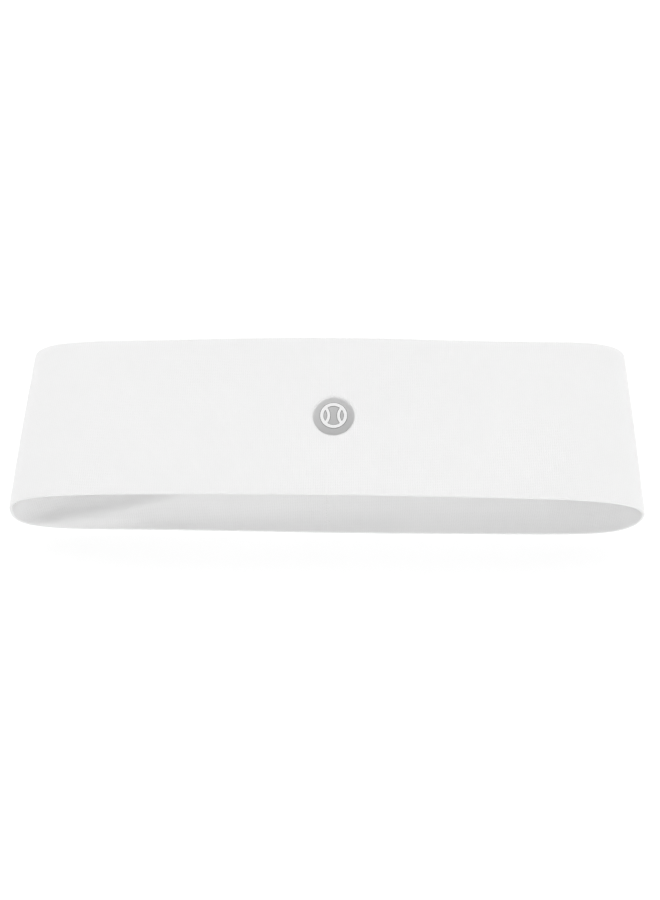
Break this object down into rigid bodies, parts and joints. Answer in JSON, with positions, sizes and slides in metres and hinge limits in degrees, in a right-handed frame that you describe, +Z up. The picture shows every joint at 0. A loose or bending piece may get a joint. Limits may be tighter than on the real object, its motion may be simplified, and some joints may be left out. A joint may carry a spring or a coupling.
{
  "type": "sports headband",
  "caption": "Wide two-layer knitted sweatband for the head: a stretch loop with elastic in both rims and a small round emblem on the front panel.",
  "frame": {"origin": "centre of the footprint, on the surface that the flattened headband lies on", "axes": "+X across the flattened loop, +Y along the loop's axis from the brow rim to the crown rim, +Z up out of the front panel that carries the emblem"},
  "size_m": [0.2446, 0.067, 0.0324],
  "materials": {
    "shell_knit": "smooth fine-gauge white polyester-elastane knit, matte with a faint sheen",
    "lining_knit": "soft white moisture-wicking knit, matte",
    "elastic_tape": "narrow woven white elastic, ribbed",
    "sewing_thread": "white textured polyester thread",
    "emblem_silver": "silver-grey heat-transfer film, satin",
    "emblem_white": "white transfer print, matte",
    "label_satin": "white satin ribbon, blank"
  },
  "bodies": {
    "back": {"outer_shell_back": "shell_knit", "lining_back": "lining_knit", "outer_shell_fold_left": "shell_knit", "lining_fold_left": "lining_knit", "outer_shell_fold_right": "shell_knit", "lining_fold_right": "lining_knit", "edge_elastic_crown": "elastic_tape", "edge_seam_thread_crown": "sewing_thread", "edge_elastic_brow": "elastic_tape", "edge_seam_thread_brow": "sewing_thread", "back_seam_stitch": "sewing_thread", "label_tack_stitch": "sewing_thread"},
    "front": {"outer_shell_front": "shell_knit", "lining_front": "lining_knit", "emblem_disc": "emblem_silver", "emblem_mark": "emblem_white"},
    "care_label": {"care_label": "label_satin"}
  },
  "joints": [
    {"name": "loop_open", "type": "slide", "parent": "back", "child": "front", "axis": [0, 0, 1], "range_m": [-0.026, 0.09], "stiffness_N_per_m": 80, "deforming": ["outer_shell_fold_left", "lining_fold_left", "outer_shell_fold_right", "lining_fold_right", "edge_elastic_crown", "edge_seam_thread_crown", "edge_elastic_brow", "edge_seam_thread_brow"]},
    {"name": "care_label_flip", "type": "hinge", "parent": "back", "child": "care_label", "pos_m": [0, 0.02752, 0.00205], "axis": [-1, 0, 0], "range_deg": [0, 170]}
  ]
}
